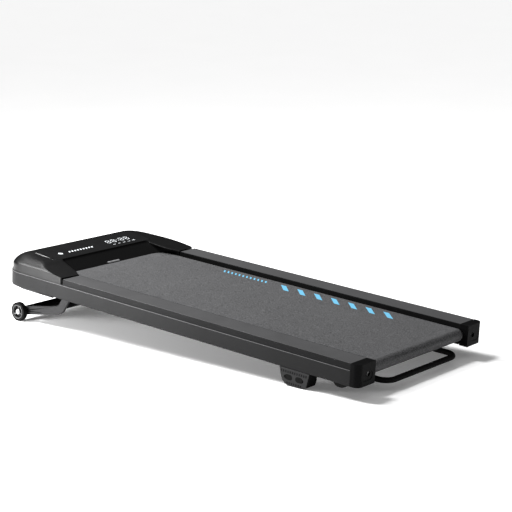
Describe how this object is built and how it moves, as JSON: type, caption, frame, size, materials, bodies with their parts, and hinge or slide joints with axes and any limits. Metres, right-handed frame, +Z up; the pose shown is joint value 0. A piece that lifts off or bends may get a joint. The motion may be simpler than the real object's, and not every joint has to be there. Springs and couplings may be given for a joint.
{
  "type": "treadmill",
  "caption": "Low walking treadmill: an inclined flat running deck with foot rails, a motor hood with console window, a front lift frame with wheels and a rear handle.",
  "frame": {"origin": "on the floor, in the middle of the overall width and overall length", "axes": "+X to the right of a user facing the console, +Y forward along the machine towards the motor hood, +Z up"},
  "size_m": [0.552, 1.2784, 0.1865],
  "materials": {
    "steel_frame": "black powder coat",
    "board": "phenolic faced board",
    "rubber": "moulded rubber",
    "zinc_steel": "zinc plated",
    "belt": "fine textured belt",
    "rail_cover": "fine satin texture",
    "skirt_cover": "fine satin texture",
    "cap_plastic": "satin black",
    "hood_plastic": "satin black",
    "console_gloss": "gloss black window",
    "circuit_board": "solder mask",
    "sensor_lens": "smoked lens",
    "motor_steel": "painted steel can",
    "drive_rubber": "ribbed belt",
    "aluminium": "extruded",
    "gearbox": "cast housing",
    "foot_grey": "satin grey",
    "handle_black": "black powder coat",
    "arm_grey": "grey powder coat",
    "tube_black": "black powder coat",
    "tyre_rubber": "solid rubber tyre",
    "hub_grey": "grey plastic",
    "roller_steel": "turned steel",
    "pulley_grey": "glass filled plastic",
    "switch_black": "gloss black",
    "button_red": "gloss red"
  },
  "bodies": {
    "root": {"frame_tube_left": "steel_frame", "frame_tube_right": "steel_frame", "cross_members": "steel_frame", "front_cross_plate": "steel_frame", "running_board": "board", "board_cushions": "rubber", "board_screws": "zinc_steel", "running_belt": "belt", "front_roller_shaft": "zinc_steel", "rear_roller_shaft": "zinc_steel", "front_roller_brackets": "steel_frame", "rear_axle_blocks": "steel_frame", "foot_rail_left": "rail_cover", "foot_rail_right": "rail_cover", "side_skirt_left": "skirt_cover", "side_skirt_right": "skirt_cover", "end_cap_left": "cap_plastic", "end_cap_right": "cap_plastic", "hood_cover": "hood_plastic", "front_skirt": "skirt_cover", "belly_pan": "cap_plastic", "display_panel": "console_gloss", "display_board": "circuit_board", "sensor_window": "sensor_lens", "drive_motor": "motor_steel", "motor_cradle": "steel_frame", "drive_belt": "drive_rubber", "control_box": "aluminium", "lift_motor": "gearbox", "power_panel": "cap_plastic", "power_inlet": "cap_plastic", "side_foot_left": "rubber", "side_foot_right": "rubber", "foot_plate_left": "foot_grey", "foot_plate_right": "foot_grey", "rear_pads": "rubber", "rear_handle": "handle_black", "handle_clamps": "handle_black", "pivot_bolts": "zinc_steel"},
    "lift_frame": {"lift_arm_left": "arm_grey", "lift_arm_right": "arm_grey", "lift_front_tube": "tube_black", "lift_rear_tube": "tube_black", "lift_lever": "arm_grey", "wheel_axles": "zinc_steel"},
    "wheel_left": {"tyre_left": "tyre_rubber", "hub_left": "hub_grey"},
    "wheel_right": {"tyre_right": "tyre_rubber", "hub_right": "hub_grey"},
    "front_roller_body": {"front_roller": "roller_steel", "front_roller_bearings": "roller_steel", "roller_pulley": "pulley_grey"},
    "rear_roller_body": {"rear_roller": "roller_steel", "rear_roller_bearings": "roller_steel"},
    "rotor": {"motor_rotor": "roller_steel"},
    "push_rod": {"lift_rod": "zinc_steel"},
    "rocker": {"rocker_switch": "switch_black"},
    "reset": {"reset_button": "button_red"},
    "bolt_left": {"tension_bolt_left": "zinc_steel"},
    "bolt_right": {"tension_bolt_right": "zinc_steel"}
  },
  "joints": [
    {"name": "lift_hinge", "type": "hinge", "parent": "root", "child": "lift_frame", "pos_m": [0, 0.36514, 0.11652], "axis": [-1, 0, 0], "range_deg": [-10.5, 20]},
    {"name": "wheel_left_spin", "type": "hinge", "parent": "lift_frame", "child": "wheel_left", "pos_m": [-0.268, 0.56734, 0.027], "axis": [1, 0, 0], "continuous": true},
    {"name": "wheel_right_spin", "type": "hinge", "parent": "lift_frame", "child": "wheel_right", "pos_m": [0.268, 0.56734, 0.027], "axis": [1, 0, 0], "continuous": true},
    {"name": "front_roller_spin", "type": "hinge", "parent": "root", "child": "front_roller_body", "pos_m": [0, 0.47484, 0.12489], "axis": [1, 0, 0], "continuous": true},
    {"name": "rear_roller_spin", "type": "hinge", "parent": "root", "child": "rear_roller_body", "pos_m": [0, -0.60041, 0.06346], "axis": [1, 0, 0], "continuous": true},
    {"name": "motor_spin", "type": "hinge", "parent": "root", "child": "rotor", "pos_m": [-0.18, 0.56829, 0.13715], "axis": [1, 0, 0], "continuous": true},
    {"name": "push_rod_slide", "type": "slide", "parent": "root", "child": "push_rod", "axis": [0, -0.9984, -0.057], "range_m": [-0.006, 0.01]},
    {"name": "rocker_tilt", "type": "hinge", "parent": "root", "child": "rocker", "pos_m": [0.111, 0.62916, 0.1236], "axis": [1, 0, 0], "range_deg": [0, 16]},
    {"name": "reset_press", "type": "slide", "parent": "root", "child": "reset", "axis": [0, -0.9984, -0.057], "range_m": [0, 0.0025], "stiffness_N_per_m": 300, "springref_m": -0.001},
    {"name": "tension_left_turn", "type": "hinge", "parent": "root", "child": "bolt_left", "pos_m": [-0.231, -0.62037, 0.06232], "axis": [0, 0.9984, 0.057], "continuous": true},
    {"name": "tension_right_turn", "type": "hinge", "parent": "root", "child": "bolt_right", "pos_m": [0.231, -0.62037, 0.06232], "axis": [0, 0.9984, 0.057], "continuous": true}
  ],
  "couplings": [
    {"joint": "rear_roller_spin", "follows": "front_roller_spin", "ratio": 1},
    {"joint": "motor_spin", "follows": "front_roller_spin", "ratio": 2.7778},
    {"joint": "push_rod_slide", "follows": "lift_hinge", "m_per_rad": 0.023}
  ]
}
